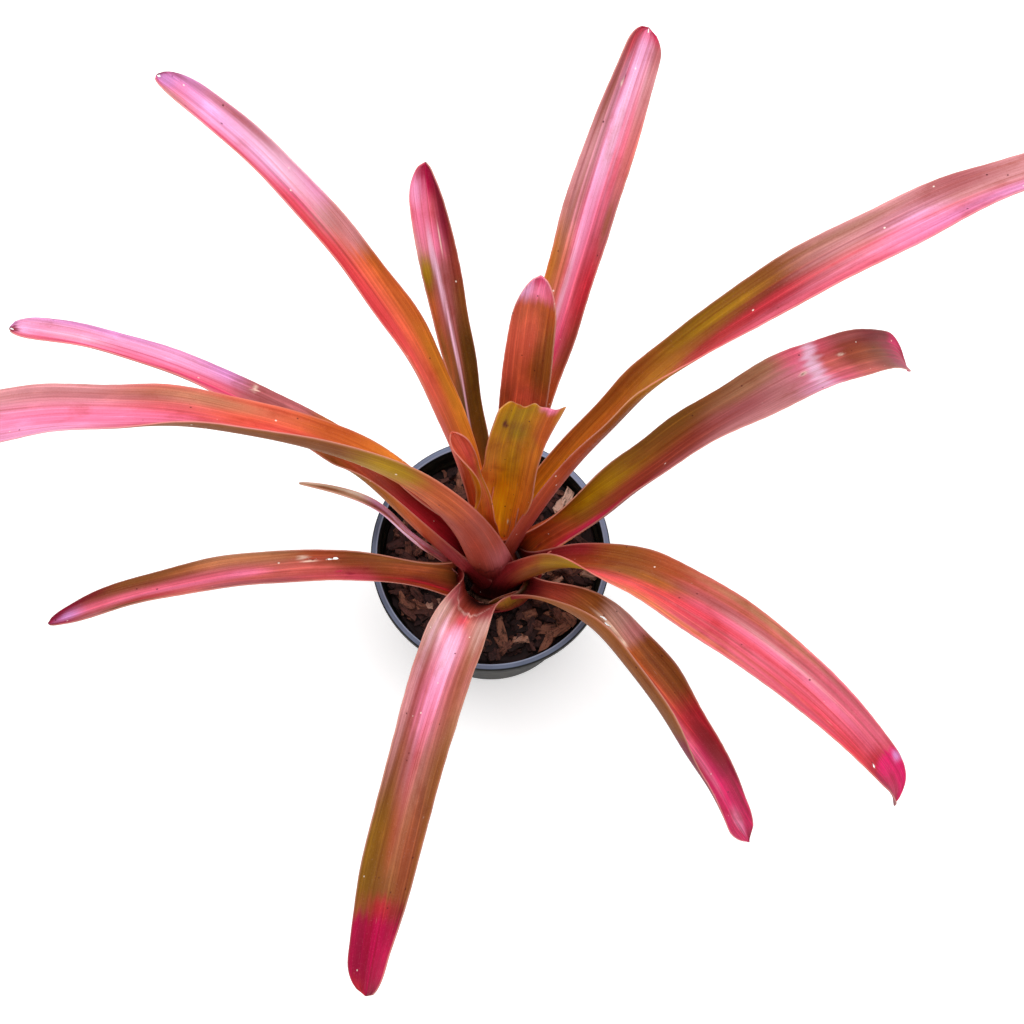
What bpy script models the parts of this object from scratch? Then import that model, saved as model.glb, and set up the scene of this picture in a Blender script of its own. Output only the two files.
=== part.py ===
"""Potted bromeliad: strap leaves round a short stem, in a nursery pot of bark.

Metres, +Z up. The origin is the centre of the pot's base, where it stands.
"""
import math
import random

import bmesh
import bpy
import numpy as np
from mathutils import Matrix, Vector

# Driving dimensions.
POT_HEIGHT = 0.140
POT_RIM_RADIUS = 0.0825
POT_BASE_RADIUS = 0.064
POT_WALL = 0.0014
POT_FLOOR = 0.0022
LIP_DEPTH = 0.009
LIP_WIDTH = 0.0045
COLLAR_DEPTH = 0.022
LEDGE_WIDTH = 0.0022
DRAIN_HOLES = 6
DRAIN_HOLE_RADIUS = 0.005
DRAIN_CIRCLE_RADIUS = 0.045
BED_BELOW_RIM = 0.020
CLEARANCE = 0.0003
CROWN_CENTRE = (0.002, -0.009)
STEM_RADIUS = 0.0046
STEM_ROOT_DEPTH = 0.030
STEM_ABOVE_BED = 0.034
SHEATH_STEP = 0.0016
INNERMOST_SHEATH_RADIUS = 0.006
LEAF_THICKNESS = 0.0008
LEAF_GAP = 0.0004
NARROWEST_TIP = 0.0012
WELD_DISTANCE = 0.000002
CHIP_COUNT = 26
ROUND_STEPS = 48

BED_TOP = POT_HEIGHT - BED_BELOW_RIM

# Each leaf, from the innermost to the outermost. Its sheath starts on the stem's side at
# the azimuth given. The groups of four hold at the sheath's top and at 40, 70 and 100 % of
# the length: the rise above the horizontal, the turn of its heading from the azimuth, the
# half width measured over the blade's curve, the curl (half the angle of its gutter) and
# the roll about its own length. Angles are in degrees, lengths in millimetres.
LEAVES = {
    "leaf_centre_bent": dict(
        azimuth=69, length=197, sheath=66, wrap=100, rise=(70, 79, 85, 63), turn=(1, -9, -6, -13),
        half_width=(15.5, 18, 17, 19), curl=(60, 40, 35, 45), roll=(4, 2, 16, 34), tip=8),
    "leaf_centre_back": dict(
        azimuth=75, length=271, sheath=76, wrap=60, rise=(62, 66, 75, 65), turn=(0, -4, 4, -1),
        half_width=(9, 12, 15, 12), curl=(40, 35, 35, 40), roll=(0, 6, 3, 7), tip=32),
    "leaf_young": dict(
        azimuth=121, length=184, sheath=60, wrap=90, rise=(84, 83, 78, 66), turn=(-1, -6, 11, 20),
        half_width=(9, 9, 7.5, 7.5), curl=(70, 70, 90, 75), roll=(0, -9, 45, -22), tip=13),
    "leaf_right_long": dict(
        azimuth=27, length=515, sheath=70, wrap=120, rise=(53, 65, 11, -11), turn=(15, -8, -1, -8),
        half_width=(20.5, 17.5, 17.5, 12), curl=(115, 75, 35, 40), roll=(-40, -30, -15, -30), tip=60),
    "leaf_back_left": dict(
        azimuth=126, length=422, sheath=75, wrap=55, rise=(74, 52, 24, 1), turn=(-14, -2, 8, 18),
        half_width=(11, 16, 14.5, 10.5), curl=(45, 40, 70, 45), roll=(38, 42, 17, 15), tip=28),
    "leaf_back_tall": dict(
        azimuth=71, length=385, sheath=65, wrap=120, rise=(70, 51, 40, 8), turn=(0, -3, 0, 0),
        half_width=(15.5, 14.5, 16.5, 11.5), curl=(95, 40, 35, 30), roll=(0, -15, -15, 40), tip=20),
    "leaf_left_long": dict(
        azimuth=231, length=637, sheath=94, wrap=120, rise=(82, 23, -18, -13), turn=(-64, -61, -50, -59),
        half_width=(24, 21.5, 17.5, 15), curl=(85, 70, 35, 30), roll=(73, 52, 5, -16), tip=50),
    "leaf_back_narrow": dict(
        azimuth=103, length=290, sheath=50, wrap=120, rise=(65, 50, 49, 38), turn=(3, 0, 0, -7),
        half_width=(14.5, 12.5, 13, 11.5), curl=(95, 60, 40, 50), roll=(-5, 30, 20, -40), tip=22),
    "leaf_left_upper": dict(
        azimuth=170, length=375, sheath=135, wrap=120, rise=(34, 53, 10, 0), turn=(-18, -6, -10, 3),
        half_width=(15.5, 14, 12.5, 9), curl=(90, 45, 55, 45), roll=(0, 0, 30, 20), tip=16),
    "leaf_right_bent": dict(
        azimuth=14, length=395, sheath=70, wrap=120, rise=(57, 48, -13, -64), turn=(-3, 10, 15, 9),
        half_width=(19.5, 19, 19, 13), curl=(115, 60, 35, 20), roll=(30, -25, -15, 5), tip=26),
    "leaf_right_low": dict(
        azimuth=-47, length=395, sheath=55, wrap=90, rise=(69, 30, 6, -80), turn=(38, 16, 3, 9),
        half_width=(20.5, 23.5, 16.5, 10.5), curl=(115, 30, 40, 55), roll=(-55, -35, 0, -30), tip=45),
    "leaf_dry_tip": dict(
        azimuth=189, length=225, sheath=25, wrap=25, rise=(67, 77, 73, 20), turn=(-16, 1, -11, -12),
        half_width=(5, 5, 4, 3), curl=(60, 65, 75, 60), roll=(5, 15, 10, 5), tip=60),
    "leaf_left_low": dict(
        azimuth=201, length=310, sheath=55, wrap=55, rise=(47, 28, 1, -23), turn=(-14, -11, -9, -6),
        half_width=(13, 11.5, 13.5, 8.5), curl=(70, 65, 35, 35), roll=(-50, -15, 30, 25), tip=40),
    "leaf_front_right": dict(
        azimuth=-49, length=350, sheath=75, wrap=50, rise=(53, 3, -52, -55), turn=(12, -3, 6, -7),
        half_width=(12, 24, 17.5, 10), curl=(110, 95, 80, 45), roll=(5, -45, -15, -10), tip=32),
    "old_sheath": dict(
        azimuth=-54, length=46, sheath=16, wrap=55, rise=(86, 94, 102, 112), turn=(0, 0, 0, 0),
        half_width=(25, 24, 22, 18), curl=(52, 52, 52, 50), roll=(0, 0, 0, 0), tip=12),
    "leaf_front": dict(
        azimuth=-107, length=345, sheath=50, wrap=90, rise=(77, 32, -4, -9), turn=(-5, 0, 4, 9),
        half_width=(22, 19.5, 17, 14.5), curl=(75, 40, 35, 20), roll=(-5, -10, -15, 50), tip=16),
}

LEAF_COLOURS = {
    "leaf_centre_bent": (0.50, 0.33, 0.05),
    "leaf_centre_back": (0.50, 0.18, 0.09),
    "leaf_young": (0.55, 0.14, 0.06),
    "leaf_dry_tip": (0.60, 0.25, 0.30),
    "old_sheath": (0.38, 0.34, 0.06),
}
LEAF_COLOUR = (0.55, 0.12, 0.14)


def clear_scene():
    for thing in list(bpy.data.objects):
        bpy.data.objects.remove(thing, do_unlink=True)


def new_collection(name):
    collection = bpy.data.collections.new(name)
    bpy.context.scene.collection.children.link(collection)
    return collection


def new_material(name, colour, roughness, metallic=0.0):
    material = bpy.data.materials.new(name)
    material.use_nodes = True
    shader = material.node_tree.nodes["Principled BSDF"]
    shader.inputs["Base Color"].default_value = (*colour, 1.0)
    shader.inputs["Roughness"].default_value = roughness
    shader.inputs["Metallic"].default_value = metallic
    return material


def new_object(name, mesh, collection, material=None):
    thing = bpy.data.objects.new(name, mesh)
    collection.objects.link(thing)
    if material:
        thing.data.materials.append(material)
    return thing


def mesh_from(bm, name, smooth_angle=40):
    mesh = bpy.data.meshes.new(name)
    bm.to_mesh(mesh)
    bm.free()
    mesh.shade_smooth()
    mesh.set_sharp_from_angle(angle=math.radians(smooth_angle))
    return mesh


def turned(name, profile, collection, material, steps=ROUND_STEPS):
    """A closed profile of (radius, height) points, turned round the Z axis."""
    mesh = bpy.data.meshes.new(name)
    edges = [(i, i + 1) for i in range(len(profile) - 1)]
    mesh.from_pydata([(radius, 0, height) for radius, height in profile], edges, [])
    thing = new_object(name, mesh, collection, material)
    screw = thing.modifiers.new("turn", "SCREW")
    screw.steps = steps
    screw.render_steps = steps
    screw.use_merge_vertices = True
    screw.merge_threshold = 0.00001
    return thing


def baked(thing):
    """Replace an object's mesh by the evaluated one and drop its modifiers."""
    graph = bpy.context.evaluated_depsgraph_get()
    mesh = bpy.data.meshes.new_from_object(thing.evaluated_get(graph))
    thing.modifiers.clear()
    thing.data = mesh
    return thing


def largest_island(thing):
    """Keep only the largest body of a cut mesh, without the slivers that touch it."""
    bm = bmesh.new()
    bm.from_mesh(thing.data)
    bmesh.ops.triangulate(bm, faces=bm.faces[:])
    bmesh.ops.remove_doubles(bm, verts=bm.verts, dist=WELD_DISTANCE)
    bmesh.ops.dissolve_degenerate(bm, edges=bm.edges, dist=WELD_DISTANCE)
    pinched = [edge for edge in bm.edges if len(edge.link_faces) > 2]
    parted = bmesh.ops.split_edges(bm, edges=pinched)["edges"]
    left = set(bm.faces)
    islands = []
    while left:
        stack = [left.pop()]
        island = []
        while stack:
            face = stack.pop()
            island.append(face)
            for edge in (edge for edge in face.edges if len(edge.link_faces) == 2):
                for other in edge.link_faces:
                    if other in left:
                        left.remove(other)
                        stack.append(other)
        islands.append(island)
    islands.sort(key=lambda island: -sum(face.calc_area() for face in island))
    for island in islands[1:]:
        bmesh.ops.delete(bm, geom=island, context="FACES")
    bmesh.ops.delete(bm, geom=[edge for edge in bm.edges if not edge.link_faces], context="EDGES")
    for vert in {vert for edge in parted if edge.is_valid for vert in edge.verts}:
        vert.co -= vert.normal * WELD_DISTANCE
    bm.to_mesh(thing.data)
    bm.free()


# ---------------------------------------------------------------- pot and bed

def inner_radius(height):
    """Radius of the pot's inner wall at a height, below the collar."""
    body_top = POT_HEIGHT - COLLAR_DEPTH
    outer = POT_BASE_RADIUS + (collar_radius() - LEDGE_WIDTH - POT_BASE_RADIUS) * height / body_top
    return outer - POT_WALL


def collar_radius():
    return POT_RIM_RADIUS - LIP_WIDTH + POT_WALL


def make_pot(collection, cutters):
    collar = collar_radius()
    body_top = POT_HEIGHT - COLLAR_DEPTH
    half_wall = POT_WALL / 2
    outside = [
        (POT_RIM_RADIUS - half_wall, POT_HEIGHT),
        (POT_RIM_RADIUS, POT_HEIGHT - half_wall),
        (POT_RIM_RADIUS - 0.0004, POT_HEIGHT - LIP_DEPTH),
        (POT_RIM_RADIUS - 0.0016, POT_HEIGHT - LIP_DEPTH),
        (POT_RIM_RADIUS - 0.0014, POT_HEIGHT - 0.0015),
        (collar, POT_HEIGHT - 0.0015),
        (collar - 0.0004, body_top),
        (collar - LEDGE_WIDTH, body_top - 0.0015),
        (POT_BASE_RADIUS + 0.0006, 0.003),
        (POT_BASE_RADIUS, 0.0),
        (0.0, 0.0),
    ]
    inside = [
        (0.0, POT_FLOOR),
        (inner_radius(POT_FLOOR), POT_FLOOR),
        (inner_radius(body_top), body_top - 0.0008),
        (collar - 0.0004 - POT_WALL, body_top + 0.0006),
        (collar - POT_WALL, POT_HEIGHT - half_wall),
        (collar - half_wall, POT_HEIGHT),
        (POT_RIM_RADIUS - half_wall, POT_HEIGHT),
    ]
    plastic = new_material("black_plastic", (0.015, 0.016, 0.019), 0.38)
    pot = turned("pot", outside + inside, collection, plastic)
    for hole in range(DRAIN_HOLES):
        angle = math.tau * (hole + 0.4) / DRAIN_HOLES
        bm = bmesh.new()
        bmesh.ops.create_cone(bm, cap_ends=True, segments=12, radius1=DRAIN_HOLE_RADIUS,
                              radius2=DRAIN_HOLE_RADIUS, depth=4 * POT_FLOOR)
        cutter = new_object(f"drain_cutter_{hole}", mesh_from(bm, "drain_cutter"), cutters)
        cutter.location = (DRAIN_CIRCLE_RADIUS * math.cos(angle), DRAIN_CIRCLE_RADIUS * math.sin(angle), 0)
        cutter.hide_render = True
        cutter.display_type = "WIRE"
        cut = pot.modifiers.new("drain", "BOOLEAN")
        cut.operation = "DIFFERENCE"
        cut.solver = "EXACT"
        cut.object = cutter
    return pot


def make_bed(collection):
    """The packed bark and soil, with a socket where the stem is rooted."""
    soil = new_material("bark_bed", (0.055, 0.030, 0.022), 0.9)
    low = POT_FLOOR + CLEARANCE
    wall = inner_radius(BED_TOP) - CLEARANCE
    profile = [
        (0.0, BED_TOP),
        (wall, BED_TOP),
        (inner_radius(low) - CLEARANCE, low),
        (0.0, low),
    ]
    bed = turned("growing_medium", profile, collection, soil, steps=36)
    bm = bmesh.new()
    bmesh.ops.create_cone(bm, cap_ends=True, segments=16, radius1=STEM_RADIUS + CLEARANCE,
                          radius2=STEM_RADIUS + CLEARANCE, depth=2 * (STEM_ROOT_DEPTH + CLEARANCE))
    mesh = mesh_from(bm, "socket_cutter")
    cutter = new_object("socket_cutter", mesh, bpy.data.collections["cutters"])
    cutter.location = (*CROWN_CENTRE, BED_TOP)
    cutter.hide_render = True
    cutter.display_type = "WIRE"
    cut = bed.modifiers.new("socket", "BOOLEAN")
    cut.operation = "DIFFERENCE"
    cut.solver = "EXACT"
    cut.object = cutter
    return bed


def make_stem(collection):
    bark = new_material("stem", (0.20, 0.07, 0.04), 0.7)
    foot = BED_TOP - STEM_ROOT_DEPTH
    top = BED_TOP + STEM_ABOVE_BED
    bm = bmesh.new()
    bmesh.ops.create_cone(bm, cap_ends=True, segments=16, radius1=STEM_RADIUS,
                          radius2=STEM_RADIUS * 0.8, depth=top - foot)
    bmesh.ops.translate(bm, verts=bm.verts, vec=(*CROWN_CENTRE, (foot + top) / 2))
    return new_object("stem", mesh_from(bm, "stem"), collection, bark)


# --------------------------------------------------------------------- leaves

def eased(stations, values, places):
    """Smooth curve through values at the stations, read at the places."""
    stations = np.array(stations, float)
    values = np.array(values, float)
    slopes = np.gradient(values, stations)
    span = np.clip(np.searchsorted(stations, places, side="right") - 1, 0, len(stations) - 2)
    width = stations[span + 1] - stations[span]
    q = np.clip((places - stations[span]) / width, 0, 1)
    start = values[span] * (2 * q**3 - 3 * q**2 + 1) + slopes[span] * width * (q**3 - 2 * q**2 + q)
    end = values[span + 1] * (3 * q**2 - 2 * q**3) + slopes[span + 1] * width * (q**3 - q**2)
    return start + end


def leaf_points(leaf, order, across, along, margin=0.0):
    """Points of a leaf's middle surface: across runs from -1 to 1, along from 0 to 1.

    A margin widens the blade and lengthens it at both ends, for a cutter.
    """
    radius = INNERMOST_SHEATH_RADIUS + SHEATH_STEP * order
    length = leaf["length"] / 1000
    stations = (0.0, leaf["sheath"] / leaf["length"], 0.4, 0.7, 1.0)

    def angle(first, name, places):
        return np.radians(eased(stations, (first, *leaf[name]), places))

    steps = np.linspace(0, 1, 401)
    rise = angle(88, "rise", steps)
    heading = math.radians(leaf["azimuth"]) + angle(0, "turn", steps)
    course = np.stack([np.cos(rise) * np.cos(heading), np.cos(rise) * np.sin(heading), np.sin(rise)])
    path = np.zeros((3, len(steps)))
    path[:, 1:] = np.cumsum((course[:, 1:] + course[:, :-1]) / 2, axis=1) * length / (len(steps) - 1)
    azimuth = math.radians(leaf["azimuth"])
    foot = BED_TOP + 0.003 + 0.0013 * (len(LEAVES) - 1 - order)
    path += np.array([[CROWN_CENTRE[0] + radius * math.cos(azimuth)],
                      [CROWN_CENTRE[1] + radius * math.sin(azimuth)], [foot]])
    centre = np.stack([np.interp(along, steps, row) for row in path], axis=1)
    rise = np.interp(along, steps, rise)
    heading = np.interp(along, steps, heading)
    ahead = np.stack([np.cos(rise) * np.cos(heading), np.cos(rise) * np.sin(heading), np.sin(rise)], axis=1)
    side = np.stack([-np.sin(heading), np.cos(heading), 0 * heading], axis=1)
    face = np.cross(ahead, side)
    roll = angle(0, "roll", along)[:, None]
    side, face = side * np.cos(roll) + face * np.sin(roll), face * np.cos(roll) - side * np.sin(roll)
    curl = angle(leaf["wrap"], "curl", along)
    base_half_width = radius * math.radians(leaf["wrap"])
    half_widths = (base_half_width, *(value / 1000 for value in leaf["half_width"]))
    half_width = eased(stations, half_widths, along)
    into_tip = np.clip((along * leaf["length"] - leaf["length"] + leaf["tip"]) / leaf["tip"], 0, 1)
    half_width = np.maximum(half_width * np.sqrt(1 - into_tip**2), NARROWEST_TIP)
    bend = half_width / curl
    curl = curl + margin / bend
    sideways = (bend * np.sin(curl * across))[:, None]
    inwards = (bend * (1 - np.cos(curl * across)))[:, None]
    stretch = (margin * (2 * along - 1))[:, None]
    return centre + sideways * side + inwards * face + stretch * ahead


def leaf_grid(name, leaf, order, margin=0.0):
    """A grid of triangles shaped to the leaf, finer towards its sheath."""
    small = leaf["length"] < 230
    columns = 6 if small else 8
    rows = 12 if small else 18
    bm = bmesh.new()
    bmesh.ops.create_grid(bm, x_segments=columns, y_segments=rows, size=1)
    grid = np.array([vert.co for vert in bm.verts])
    along = ((grid[:, 1] + 1) / 2) ** 1.25
    for vert, point in zip(bm.verts, leaf_points(leaf, order, grid[:, 0], along, margin)):
        vert.co = point
    bmesh.ops.triangulate(bm, faces=bm.faces[:], quad_method="FIXED")
    return mesh_from(bm, name)


def solid_leaf(name, mesh, collection, material, thickness):
    thing = new_object(name, mesh, collection, material)
    shell = thing.modifiers.new("thickness", "SOLIDIFY")
    shell.thickness = thickness
    shell.offset = 0.0
    return thing


def boxes_meet(first, second):
    def box(thing):
        points = np.array([vert.co for vert in thing.data.vertices])
        return points.min(axis=0), points.max(axis=0)

    low_1, high_1 = box(first)
    low_2, high_2 = box(second)
    return bool(np.all(low_1 < high_2) and np.all(low_2 < high_1))


def make_leaves(collection, cutters, stem):
    """Leaves from the innermost out, each cut clear of those inside it."""
    grown = []
    for order, (name, leaf) in enumerate(LEAVES.items()):
        material = new_material(name, LEAF_COLOURS.get(name, LEAF_COLOUR), 0.42)
        thing = solid_leaf(name, leaf_grid(name, leaf, order), collection, material, LEAF_THICKNESS)
        baked(thing)
        for cutter in grown:
            if boxes_meet(thing, cutter):
                cut = thing.modifiers.new("clear", "BOOLEAN")
                cut.operation = "DIFFERENCE"
                cut.solver = "MANIFOLD"
                cut.object = cutter
                baked(thing)
                largest_island(thing)
        cutter = solid_leaf(name + "_cutter", leaf_grid(name, leaf, order, LEAF_GAP), cutters,
                            None, LEAF_THICKNESS + 2 * LEAF_GAP)
        cutter.hide_render = True
        cutter.display_type = "WIRE"
        grown.append(baked(cutter))


# ----------------------------------------------------------------------- bark

def make_chips(collection):
    """Larger loose pieces of bark that lie on the bed, clear of each other."""
    bark = new_material("bark_chip", (0.16, 0.080, 0.055), 0.85)
    chance = random.Random(7)
    placed = []
    while len(placed) < CHIP_COUNT:
        length = chance.uniform(0.010, 0.019)
        width = length * chance.uniform(0.45, 0.7)
        thick = chance.uniform(0.003, 0.0055)
        reach = math.hypot(length, width) / 2
        distance = chance.uniform(0.040, inner_radius(BED_TOP) - 0.003 - reach)
        angle = chance.uniform(0, math.tau)
        spot = Vector((distance * math.cos(angle), distance * math.sin(angle)))
        if any((spot - other).length < reach + other_reach for other, other_reach in placed):
            continue
        if (spot - Vector(CROWN_CENTRE)).length < 0.037 + reach:
            continue
        placed.append((spot, reach))
        bm = bmesh.new()
        for _ in range(14):
            corner = Vector((chance.choice((-1, 1)), chance.choice((-1, 1)), chance.choice((-1, 1))))
            corner = corner * chance.uniform(0.62, 1.0)
            bm.verts.new((corner.x * length / 2, corner.y * width / 2, corner.z * thick / 2))
        bmesh.ops.remove_doubles(bm, verts=bm.verts, dist=0.0002)
        hull = bmesh.ops.convex_hull(bm, input=bm.verts)
        loose = [item for item in hull["geom_interior"] if isinstance(item, bmesh.types.BMVert)]
        bmesh.ops.delete(bm, geom=loose, context="VERTS")
        bmesh.ops.recalc_face_normals(bm, faces=bm.faces)
        lowest = min(vert.co.z for vert in bm.verts)
        turn = Matrix.Rotation(chance.uniform(0, math.tau), 4, "Z")
        lift = Matrix.Translation((spot.x, spot.y, BED_TOP + CLEARANCE - lowest))
        bmesh.ops.transform(bm, matrix=lift @ turn, verts=bm.verts)
        name = f"bark_chip_{len(placed):02d}"
        new_object(name, mesh_from(bm, name, 20), collection, bark)


clear_scene()
plant = new_collection("potted_bromeliad")
cutter_collection = new_collection("cutters")
make_pot(plant, cutter_collection)
make_bed(plant)
make_leaves(plant, cutter_collection, make_stem(plant))
make_chips(plant)
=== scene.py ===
import math
import random

import bmesh
import bpy
import numpy as np
from mathutils import Matrix, Vector


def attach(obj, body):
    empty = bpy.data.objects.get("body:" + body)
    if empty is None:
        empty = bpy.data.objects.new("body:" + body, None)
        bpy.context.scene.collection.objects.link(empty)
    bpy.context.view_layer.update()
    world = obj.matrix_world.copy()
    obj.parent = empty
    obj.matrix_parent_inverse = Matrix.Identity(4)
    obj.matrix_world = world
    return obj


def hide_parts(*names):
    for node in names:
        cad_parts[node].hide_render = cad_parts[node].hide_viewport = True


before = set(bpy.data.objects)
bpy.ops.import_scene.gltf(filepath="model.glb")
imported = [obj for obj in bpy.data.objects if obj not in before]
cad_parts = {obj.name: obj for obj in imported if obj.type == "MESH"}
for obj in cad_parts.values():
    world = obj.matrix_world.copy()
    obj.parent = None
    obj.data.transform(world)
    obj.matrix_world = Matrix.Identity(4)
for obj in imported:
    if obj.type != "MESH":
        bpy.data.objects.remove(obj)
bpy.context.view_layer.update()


# ---- Nursery pot
# An injection-moulded pot of thin black plastic with a flat lip, a collar and a stacking
# ledge inside. It is one profile turned round the axis, and its base is closed.
POT_HEIGHT = 0.140
RIM_RADIUS = 0.0825
BASE_RADIUS = 0.064
WALL = 0.0014
FLOOR = 0.0022
LIP_WIDTH = 0.0045
LIP_DEPTH = 0.009
COLLAR_DEPTH = 0.022
LEDGE = 0.0022
COLLAR = RIM_RADIUS - LIP_WIDTH + WALL
COLLAR_FOOT = POT_HEIGHT - COLLAR_DEPTH
BED_TOP = POT_HEIGHT - 0.020


class Wire:
    """A socket of a material's node tree, with arithmetic that adds Math nodes."""

    def __init__(self, tree, socket):
        self.tree = tree
        self.socket = socket

    def node(self, kind, settings=None, inputs=None, output=0):
        """Add a node: its settings first, then the values or wires of its sockets."""
        made = self.tree.nodes.new("ShaderNode" + kind)
        for name, value in (settings or {}).items():
            if name == "stops":
                ramp = made.color_ramp
                for place, colour in value[1:-1]:
                    ramp.elements.new(place).color = colour
                ramp.elements[0].position, ramp.elements[0].color = value[0]
                ramp.elements[-1].position, ramp.elements[-1].color = value[-1]
            else:
                setattr(made, name, value)
        for name, value in (inputs or {}).items():
            if isinstance(value, Wire):
                self.tree.links.new(value.socket, made.inputs[name])
            else:
                made.inputs[name].default_value = value
        return Wire(self.tree, made.outputs[output])

    def maths(self, operation, *others):
        values = dict(enumerate((self, *others)))
        return self.node("Math", {"operation": operation}, values)

    def __add__(self, other):
        return self.maths("ADD", other)

    def __sub__(self, other):
        return self.maths("SUBTRACT", other)

    def __rsub__(self, other):
        return self.node("Math", {"operation": "SUBTRACT"}, {0: other, 1: self})

    def __mul__(self, other):
        return self.maths("MULTIPLY", other)

    __radd__ = __add__

    def __pow__(self, other):
        return self.maths("POWER", other)

    def between(self, low, high):
        """0 where the value is at or below low, 1 at or above high, smooth between."""
        return self.node("MapRange", {"interpolation_type": "SMOOTHSTEP"},
                         {"Value": self, "From Min": low, "From Max": high})

    def mixed(self, colour, share, how="MIX"):
        """This colour with a share of another laid over it."""
        settings = {"data_type": "RGBA", "blend_type": how}
        return self.node("Mix", settings, {0: share, 6: self, 7: colour}, 2)

    def blend(self, first, second):
        """A colour between two, with this value as the share of the second."""
        return self.node("Mix", {"data_type": "RGBA"}, {0: self, 6: first, 7: second}, 2)

    def part(self, index):
        """One of a vector's three numbers."""
        return self.node("SeparateXYZ", {}, {"Vector": self}, index)

    def stored(self, name, output):
        """What the mesh stores under a name: a colour (0), a vector (1) or a number (2)."""
        return self.node("Attribute", {"attribute_name": name}, {}, output)

    def scaled(self, x, y, z):
        return self.node("VectorMath", {"operation": "MULTIPLY"}, {0: self, 1: (x, y, z)})

    def noise(self, scale, detail=2.0, roughness=0.5):
        return self.node("TexNoise", {}, {"Vector": self, "Scale": scale, "Detail": detail,
                                          "Roughness": roughness})


def colour(red, green, blue):
    """An everyday 0 to 255 colour as the linear colour a shader takes."""
    def linear(value):
        value = value / 255
        return value / 12.92 if value <= 0.04045 else ((value + 0.055) / 1.055) ** 2.4
    return (linear(red), linear(green), linear(blue), 1.0)


def new_finish(name, **constants):
    """A material with its constants set; returns it, its shader and object coordinates."""
    material = bpy.data.materials.new(name)
    material.use_nodes = True
    tree = material.node_tree
    shader = tree.nodes["Principled BSDF"]
    for socket, value in constants.items():
        shader.inputs[socket.replace("_", " ")].default_value = value
    place = Wire(tree, tree.nodes.new("ShaderNodeTexCoord").outputs["Object"])
    return material, shader, place


def feed(shader, **wires):
    for socket, wire in wires.items():
        wire.tree.links.new(wire.socket, shader.inputs[socket.replace("_", " ")])


def bumped(height, strength, distance):
    return height.node("Bump", {}, {"Height": height, "Strength": strength, "Distance": distance})


def placed(name, data):
    """An object of the scene made from its data."""
    made = bpy.data.objects.new(name, data)
    bpy.context.scene.collection.objects.link(made)
    return made


def new_piece(name, bm, finish, nodes, smooth=True):
    """Make a piece of the finished object from a bmesh, standing for CAD nodes."""
    mesh = bpy.data.meshes.new(name)
    bm.to_mesh(mesh)
    bm.free()
    if smooth:
        mesh.shade_smooth()
    else:
        mesh.shade_flat()
    piece = placed(name, mesh)
    mesh.materials.append(finish)
    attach(piece, "root")
    if nodes:
        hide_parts(*nodes)
    return piece


def turned(profile, steps):
    """A closed skin turned round the Z axis from (radius, height) points."""
    bm = bmesh.new()
    verts = [bm.verts.new((radius, 0, height)) for radius, height in profile]
    edges = [bm.edges.new(pair) for pair in zip(verts, verts[1:])]
    bmesh.ops.spin(bm, geom=verts + edges, cent=(0, 0, 0), axis=(0, 0, 1), dvec=(0, 0, 0),
                   angle=math.tau, steps=steps, use_merge=True)
    bmesh.ops.remove_doubles(bm, verts=bm.verts, dist=0.00001)
    bmesh.ops.recalc_face_normals(bm, faces=bm.faces)
    return bm


def inner_radius(height):
    """Radius of the pot's inner wall at a height, below the collar."""
    return BASE_RADIUS + (COLLAR - LEDGE - BASE_RADIUS) * height / COLLAR_FOOT - WALL


plastic, shader, place = new_finish("black_plastic", Specular_IOR_Level=0.02)
height = place.part(2)
scuffs = place.scaled(1, 1, 3).noise(140, 4)
dust = place.noise(45, 4).between(0.42, 0.72)
# Painted sheen: the lip of the black plastic is painted blue-grey for the light it reflects, in patches,
# lighter on the lit side and brightest along its inner edge, while its outer edge stays dark.
on_lip = height.between(POT_HEIGHT - 0.0016, POT_HEIGHT - 0.0004)
across = place.part(0)
back = place.part(1)
out = (across * across + back * back)**0.5
lip_inner = 1 - (out - (RIM_RADIUS - 0.0040)).between(0.0002, 0.0010)
lip_outer = (out - (RIM_RADIUS - 0.0012)).between(0.0, 0.0008)
lit_side = (across * 0.6 + back).between(-0.02, 0.09)
lip_sheen_patches = place.scaled(30, 30, 200).noise(1.0, 3).between(0.35, 0.65)
body = (dust * 0.6).blend(colour(20, 20, 18), colour(52, 50, 40))
body = body.mixed(colour(104, 114, 134), on_lip * (0.30 + lip_sheen_patches * 0.5) * (1 - lip_outer))
body = body.mixed(colour(150, 164, 196), on_lip * (0.25 + lit_side * 0.55) * (1 - lip_outer))
body = body.mixed(colour(176, 190, 216), on_lip * lip_inner * 0.6)
feed(shader,
     Base_Color=body,
     Roughness=0.34 + scuffs * 0.22,
     Normal=bumped(place.noise(900, 2), 0.05, 0.0002))

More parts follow.
